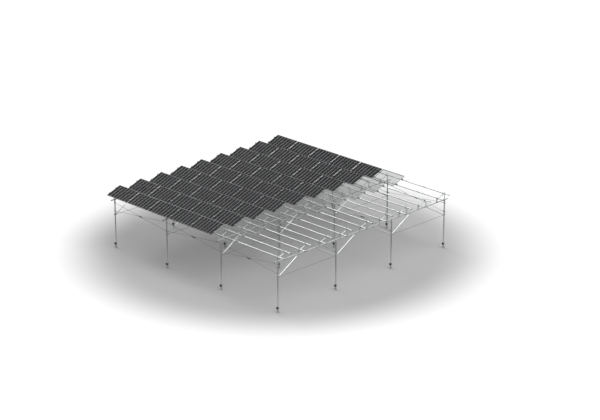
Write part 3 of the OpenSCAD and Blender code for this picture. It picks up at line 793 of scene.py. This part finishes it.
def clamp_bolt(sizes, grip):
    """A hexagon bolt along Z, its head above and its nut below a grip that is centred on the origin."""
    washer_r, washer_t, shank_r, thread_end = 0.0115, 0.002, 0.00575, 0.004
    half, corner_r = grip / 2, sizes.bolt_corners / 2
    head_low, nut_high = half + washer_t, -half - washer_t
    nut_low = nut_high - sizes.bolt_nut
    head = [
        (corner_r, head_low),
        (corner_r, head_low + 0.8 * sizes.bolt_head),
        (0.84 * corner_r, head_low + sizes.bolt_head),
    ]
    nut = [(0.86 * corner_r, nut_low), (corner_r, nut_high - 0.8 * sizes.bolt_nut), (corner_r, nut_high)]
    return joined(
        turned(head, 6),
        turned(nut, 6, math.pi / 6),
        turned([(washer_r, half), (washer_r, head_low)], 10),
        turned([(washer_r, nut_high), (washer_r, -half)], 10),
        turned([(shank_r, nut_low - thread_end), (shank_r, head_low)], 6),
    )


def set_screw(sizes):
    """A hexagon screw on a round collar, standing along Z on the surface at the origin."""
    collar_h, collar_sink, collar_rim, bevel = 0.0015, 0.002, 0.0012, 0.0012
    head_r = sizes.screw_corners / 2
    collar_r = 0.95 * head_r + collar_rim
    top = collar_h + sizes.screw_head
    return joined(
        turned([(collar_r, -collar_sink), (collar_r, collar_h)], 10),
        turned([(head_r, collar_h), (head_r, top - bevel), (0.82 * head_r, top)], 6),
    )


class CANOPY_OT_finishes(Operator):
    """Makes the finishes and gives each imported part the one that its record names"""

    bl_idname = "canopy.finishes"
    bl_label = "Finishes"

    def execute(self, context):
        FINISHES.update(make_finishes(context.scene.canopy_colours))
        for part in frame["record"]["subparts"]:
            mesh = frame["nodes"][part["node"]].data
            mesh.materials.clear()
            mesh.materials.append(FINISHES.get(part["node"], FINISHES[part["material_slot"]]))
        return {"FINISHED"}


class CANOPY_OT_cells(Operator):
    """Adds the solar cells of each row in place of the plain cell sheets"""

    bl_idname = "canopy.cells"
    bl_label = "Solar Cells"

    def execute(self, context):
        sizes = context.scene.canopy_sizes
        cell_pitch = (SHEET_L - 2 * BUS_W) / sizes.cell_rows
        cell_l = cell_pitch - sizes.cell_gap
        cut = sizes.cell_corner
        right, up = CELL_W - cut, cell_l - cut
        outline = [
            (cut, 0),
            (right, 0),
            (CELL_W, cut),
            (CELL_W, up),
            (right, cell_l),
            (cut, cell_l),
            (0, up),
            (0, cut),
        ]
        cell = prism(outline, *CELL_LAYER)
        strings_x = SHEET_MARGIN + STRING_PITCH * np.arange(STRING_COUNT)
        cells_s = SHEET_MARGIN + BUS_W + sizes.cell_gap / 2 + cell_pitch * np.arange(sizes.cell_rows)
        module_x, string_x, cell_s = spread(DARK_MODULES_X, strings_x, cells_s).T
        places = np.column_stack(
            [module_x + string_x, MODULE_LOW_S + cell_s, np.full(len(cell_s), GLASS_UNDERSIDE)]
        )
        points, corners, counts = repeated(cell, places)
        flat_places = np.tile(cell[0][:, :2], (len(places), 1))
        for k, row_y in enumerate(ROW_Y, 1):
            add_piece(
                f"solar_cells_row_{k}",
                (on_slope(points, row_y), corners, counts),
                FINISHES["solar_cell"],
                [f"cell_sheets_row_{k}"],
                flat_places=flat_places,
            )
        return {"FINISHED"}


class CANOPY_OT_ribbons(Operator):
    """Adds the tinned ribbons that join the cells of a string, and the strips across their ends"""

    bl_idname = "canopy.ribbons"
    bl_label = "Cell Ribbons"

    def execute(self, context):
        ribbon_half, strip_w, ribbons_at = 0.0006, 0.7 * BUS_W, CELL_W * np.array([0.3, 0.7])
        strip_extra = 0.0001
        low, high = GLASS_UNDERSIDE + RIBBON_LAYER[0], GLASS_UNDERSIDE + RIBBON_LAYER[1]
        ribbon = block((-ribbon_half, ribbon_half), (0, SHEET_L), (low + strip_extra, high))
        strip = block((0, SHEET_W), (0, strip_w), (low, high))
        sheets_x, start = DARK_MODULES_X + SHEET_MARGIN, MODULE_LOW_S + SHEET_MARGIN
        ribbons_x = spread(sheets_x, STRING_PITCH * np.arange(STRING_COUNT), ribbons_at).sum(axis=1)
        row = joined(
            repeated(ribbon, spread(ribbons_x, [start], [0.0])),
            repeated(strip, spread(sheets_x, [start, start + SHEET_L - strip_w], [0.0])),
        )
        add_piece("cell_ribbons", shape_on_rows(row), FINISHES["bolt_steel"])
        return {"FINISHED"}


class CANOPY_OT_rear_films(Operator):
    """Adds the grey film that closes the back of each dark panel behind its cells. Its grey stands in for the
    shaded ground seen through the gaps between the strings, so it is partly painted shade
    """

    bl_idname = "canopy.rear_films"
    bl_label = "Rear Films"

    def execute(self, context):
        film = block((0, SHEET_W), (0, SHEET_L), FILM_LAYER)
        places = spread(DARK_MODULES_X + SHEET_MARGIN, [MODULE_LOW_S + SHEET_MARGIN], [GLASS_UNDERSIDE])
        films = shape_on_rows(repeated(film, places))
        add_piece("rear_films", films, FINISHES["rear_film"])
        return {"FINISHED"}


class CANOPY_OT_junction_boxes(Operator):
    """Adds moulded junction boxes with a stepped lid and two cable glands under each dark panel"""

    bl_idname = "canopy.junction_boxes"
    bl_label = "Junction Boxes"

    def execute(self, context):
        turn = np.linspace(0, 2 * np.pi, 28, endpoint=False)

        def rounded(width, length, z):
            """A rounded rectangle: x and y are the signed fourth roots of cosine and sine, scaled to half
            the width and half the length."""
            x = width / 2 * np.sign(np.cos(turn)) * np.abs(np.cos(turn)) ** 0.25
            y = length / 2 * np.sign(np.sin(turn)) * np.abs(np.sin(turn)) ** 0.25
            return np.column_stack([x, y, np.full_like(x, z)])

        # Each ring's change of width and length, and its height, from the lid up to the back of the panel
        rings = [
            (-0.008, -JBOX_H),
            (-0.004, 0.0012 - JBOX_H),
            (-0.004, -0.011),
            (0.0, -0.0105),
            (0.0, -0.0001),
        ]
        box = stacked(np.stack([rounded(JBOX_W + change, JBOX_L + change, z) for change, z in rings]))
        gland_side, gland_drop = 0.03, 0.006
        gland = turned([(0.0055, -0.006), (0.0055, 0.004), (0.004, 0.005), (0.004, 0.012)], 10)
        gland_places = [(x, -JBOX_L / 2, -gland_drop) for x in (-gland_side, gland_side)]
        whole = joined(box, repeated(gland, gland_places, facing((0, -1, 0), 2)))
        middle_s = MODULE_LOW_S + MODULE_L - JBOX_EDGE - JBOX_L / 2
        places = spread(DARK_MODULES_X + MODULE_W / 2, [middle_s], [GLASS_UNDERSIDE + FILM_LAYER[0]])
        add_piece(
            "moulded_junction_boxes",
            shape_on_rows(repeated(whole, places)),
            FINISHES["black_plastic"],
            ["junction_boxes"],
        )
        return {"FINISHED"}


class CANOPY_OT_clamp_bolts(Operator):
    """Adds the hexagon bolts that close the saddles on the beams and the collars on the posts"""

    bl_idname = "canopy.clamp_bolts"
    bl_label = "Clamp Bolts"

    def execute(self, context):
        sizes = context.scene.canopy_sizes
        saddles_y = np.concatenate([ROW_Y, ROW_Y + BRACKET_BASE, POST_Y[1:-1]])
        saddle_x, saddle_y, side = spread(FRAME_X, saddles_y, [-EAR_BOLT, EAR_BOLT]).T
        saddle_places = np.column_stack([saddle_x + side, saddle_y, np.full(len(side), BEAM_Z)])
        end_ears_x = [FRAME_X[0] + EAR_BOLT, FRAME_X[-1] - EAR_BOLT]
        end_ears = spread(end_ears_x, POST_Y, [BRACE_LOW, BRACE_HIGH])
        knee_low, knee_high = KNEE_Z - KNEE_BOLT_RISE, KNEE_Z + KNEE_BOLT_RISE
        knee_ears = np.concatenate(
            [
                spread(FRAME_X, [POST_Y[0] - EAR_BOLT, POST_Y[-1] + EAR_BOLT], [knee_low, knee_high]),
                spread(FRAME_X, [POST_Y[1] + EAR_BOLT, POST_Y[2] - EAR_BOLT], [knee_low]),
            ]
        )
        ear_bolt = clamp_bolt(sizes, 2 * EAR_T + EAR_GAP)
        knee_bolt = clamp_bolt(sizes, 2 * EAR_T + KNEE_GAP)
        bolts = joined(
            repeated(ear_bolt, saddle_places),
            repeated(ear_bolt, end_ears, facing((0, -1, 0), len(end_ears))),
            repeated(knee_bolt, knee_ears, facing((1, 0, 0), len(knee_ears), (0, 1, 0))),
        )
        add_piece("clamp_bolts", bolts, FINISHES["bolt_steel"])
        return {"FINISHED"}


class CANOPY_OT_set_screws(Operator):
    """Adds the screws of crossover fittings, leg rings, sleeves, post heads, foot hubs and panel clamps"""

    bl_idname = "canopy.set_screws"
    bl_label = "Set Screws"

    def execute(self, context):
        screw = set_screw(context.scene.canopy_sizes)
        purlin_ring_r, rail_ring_r, sleeve_r = 0.03585, 0.02985, 0.03395
        from_butt, head_drop, socket_sink = 0.05, 0.045, 0.0004
        sleeve_ends = (SLEEVES_X[:, None] + np.array([-from_butt, from_butt])).reshape(-1)
        clamps_x = MODULE_EDGE + MODULE_PITCH * np.arange(DARK_COUNT + 2)
        upward = np.concatenate(
            [
                on_rows(spread(FRAME_X, PURLINS_S, [purlin_ring_r])),
                on_rows(spread(FRAME_X, [FRONT_LEG_S, REAR_LEG_S], [rail_ring_r - RAIL_DROP])),
                on_rows(spread(clamps_x, PURLINS_S, [CLAMP_TOP])),
            ]
        )
        downward = on_rows(spread(FRAME_X, PURLINS_S, [-RAIL_DROP - rail_ring_r]))
        forward = on_rows(np.concatenate([spread(sleeve_ends, [s - sleeve_r], [0.0]) for s in PURLINS_S]))
        # Places, the way that the screws stand out, and the direction near which their own X lies
        groups = [
            (upward, SLOPE_UP, (1, 0, 0)),
            (downward, SLOPE_DOWN, (1, 0, 0)),
            (forward, SLOPE_FRONT, (1, 0, 0)),
        ]
        for side in (-1, 1):
            on_heads = spread(FRAME_X, POST_Y + side * (SOCKET_R - socket_sink), [POST_TOP - head_drop])
            on_hubs = spread(FRAME_X + side * HUB_HALF, POST_Y, [HUB_Z])
            groups.append((on_heads, (0, side, 0), (1, 0, 0)))
            groups.append((on_hubs, (side, 0, 0), (0, 1, 0)))
        screws = joined(*[repeated(screw, places, facing(out, len(places), x)) for places, out, x in groups])
        add_piece("set_screws", screws, FINISHES["bolt_steel"])
        return {"FINISHED"}


class CANOPY_OT_lock_nuts(Operator):
    """Adds a lock nut on the rod at both ends of each turnbuckle"""

    bl_idname = "canopy.lock_nuts"
    bl_label = "Lock Nuts"

    def execute(self, context):
        nut_r, nut_h, bevel = 0.0125, 0.011, 0.0015
        low_r = 0.86 * nut_r
        nut = turned([(low_r, 0), (nut_r, bevel), (nut_r, nut_h - bevel), (low_r, nut_h)], 6)
        run = FRAME_X[0] - FRAME_X[1] - 2 * EAR_BOLT
        along = np.array([run, 0.0, BRACE_LOW - BRACE_HIGH])
        along /= np.linalg.norm(along)
        bays_x = (FRAME_X[:-1] + FRAME_X[1:]) / 2
        middles = spread(bays_x, POST_Y - ROD_SIDE, [(BRACE_LOW + BRACE_HIGH) / 2])
        nuts = joined(
            *[
                repeated(nut, middles + BUCKLE_LEN / 2 * way, facing(way, len(middles), (0, 1, 0)))
                for way in (along, -along)
            ]
        )
        add_piece("lock_nuts", nuts, FINISHES["bolt_steel"])
        return {"FINISHED"}


class CANOPY_OT_welds(Operator):
    """Adds the weld beads round the ground sleeves and at the foot of each bracket leg's tube"""

    bl_idname = "canopy.welds"
    bl_label = "Weld Beads"

    def execute(self, context):
        bead = context.scene.canopy_sizes.weld
        leg_bead = 0.6 * bead
        front_y, rear_y = ROW_Y - FRONT_LEG_BACK, ROW_Y + BRACKET_BASE
        legs = np.concatenate([spread(FRAME_X, legs_y, [LEG_PAD_Z]) for legs_y in (front_y, rear_y)])
        beads = joined(
            repeated(weld_ring(SLEEVE_R, bead), spread(FRAME_X, POST_Y, [FLANGE_T])),
            repeated(weld_ring(STRUT_R, leg_bead, around=20, section=5, ripples=5), legs),
        )
        add_piece("weld_beads", beads, FINISHES["galvanised"], smooth=True)
        return {"FINISHED"}


def lay_floor(scene):
    """A flat floor whose colour goes from near to far with the distance from the middle. The darker middle is
    partly a grey ground and partly a painted shadow pool round the canopy.
    """
    half, colours = scene.canopy_sizes.floor, scene.canopy_colours
    corners = [(-half, -half, 0), (half, -half, 0), (half, half, 0), (-half, half, 0)]
    mesh = bpy.data.meshes.new("floor")
    mesh.from_pydata(corners, [], [(0, 1, 2, 3)])
    floor = bpy.data.objects.new("floor", mesh)
    scene.collection.objects.link(floor)
    finish, tree, shader, place = start_finish("Studio Floor", 0.0, specular=0.0)
    away = wire(tree, "ShaderNodeVectorMath", {"operation": "LENGTH"}, i0=place).outputs["Value"]
    shadow_pool_fade = smooth_rise(tree, away, FLOOR_NEAR_R, FLOOR_FAR_R)
    shade = mixed(tree, shadow_pool_fade, rgba(colours.floor_near), rgba(colours.floor_far))
    fill(tree, shader, Base_Color=shade, Roughness=0.9)
    mesh.materials.append(finish)


def surround(scene):
    """White surroundings: they light the object at a plain level and are white where they are seen."""
    world = bpy.data.worlds.new("Surroundings")
    world.use_nodes = True
    tree = world.node_tree
    tree.nodes.clear()
    path = wire(tree, "ShaderNodeLightPath").outputs
    seen = maths(tree, "MAXIMUM", path["Is Camera Ray"], path["Is Glossy Ray"])
    shown = maths(tree, "MAXIMUM", seen, path["Is Transmission Ray"])
    level = mixed_value(tree, shown, SKY_LIGHT, SKY_SEEN)
    light = wire(tree, "ShaderNodeBackground", Color=(1, 1, 1, 1), Strength=level)
    wire(tree, "ShaderNodeOutputWorld", Surface=light.outputs[0])
    scene.world = world


def hang_lamps(scene):
    """Distant lamps with soft shadows."""
    for name, toward, strength, softness in LAMPS:
        lamp = bpy.data.lights.new(name, "SUN")
        lamp.energy = strength
        lamp.angle = softness
        sun = bpy.data.objects.new(name, lamp)
        sun.rotation_euler = Vector(toward).to_track_quat("Z", "Y").to_euler()
        scene.collection.objects.link(sun)


def place_camera(scene):
    """A camera that looks along (-sin turn cos drop, cos turn cos drop, -sin drop)."""
    optics = bpy.data.cameras.new("camera")
    optics.lens = CAMERA_LENS
    optics.sensor_width = CAMERA_SENSOR
    optics.clip_end = CAMERA_REACH
    camera = bpy.data.objects.new("camera", optics)
    camera.location = CAMERA_PLACE
    forward = Vector(
        (
            -math.sin(CAMERA_TURN) * math.cos(CAMERA_DROP),
            math.cos(CAMERA_TURN) * math.cos(CAMERA_DROP),
            -math.sin(CAMERA_DROP),
        )
    )
    camera.rotation_euler = forward.to_track_quat("-Z", "Y").to_euler()
    scene.collection.objects.link(camera)
    scene.camera = camera


class CANOPY_OT_stage(Operator):
    """Sets the floor, the soft light, the white surroundings and the camera"""

    bl_idname = "canopy.stage"
    bl_label = "Stage"

    def execute(self, context):
        lay_floor(context.scene)
        surround(context.scene)
        hang_lamps(context.scene)
        place_camera(context.scene)
        context.scene.view_settings.view_transform = "Standard"
        return {"FINISHED"}


STEPS = (
    CANOPY_OT_finishes,
    CANOPY_OT_cells,
    CANOPY_OT_ribbons,
    CANOPY_OT_rear_films,
    CANOPY_OT_junction_boxes,
    CANOPY_OT_clamp_bolts,
    CANOPY_OT_set_screws,
    CANOPY_OT_lock_nuts,
    CANOPY_OT_welds,
    CANOPY_OT_stage,
)


class CANOPY_PT_sidebar(Panel):
    """Lists the sizes, the colours and the steps of the canopy"""

    bl_idname = "CANOPY_PT_sidebar"
    bl_label = "Raised Solar Canopy"
    bl_space_type = "VIEW_3D"
    bl_region_type = "UI"
    bl_category = "Canopy"

    def draw(self, context):
        for group in (context.scene.canopy_sizes, context.scene.canopy_colours):
            box = self.layout.box()
            for name in group.__annotations__:
                box.prop(group, name)
        for step in STEPS:
            self.layout.operator(step.bl_idname)


CLASSES = (CanopySizes, CanopyColours, *STEPS, CANOPY_PT_sidebar)


def register():
    for cls in CLASSES:
        bpy.utils.register_class(cls)
    bpy.types.Scene.canopy_sizes = PointerProperty(type=CanopySizes)
    bpy.types.Scene.canopy_colours = PointerProperty(type=CanopyColours)


def unregister():
    del bpy.types.Scene.canopy_colours
    del bpy.types.Scene.canopy_sizes
    for cls in reversed(CLASSES):
        bpy.utils.unregister_class(cls)


def main():
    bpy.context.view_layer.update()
    register()
    bpy.ops.canopy.finishes()
    bpy.ops.canopy.cells()
    bpy.ops.canopy.ribbons()
    bpy.ops.canopy.rear_films()
    bpy.ops.canopy.junction_boxes()
    bpy.ops.canopy.clamp_bolts()
    bpy.ops.canopy.set_screws()
    bpy.ops.canopy.lock_nuts()
    bpy.ops.canopy.welds()
    bpy.ops.canopy.stage()


if __name__ == "__main__":
    main()
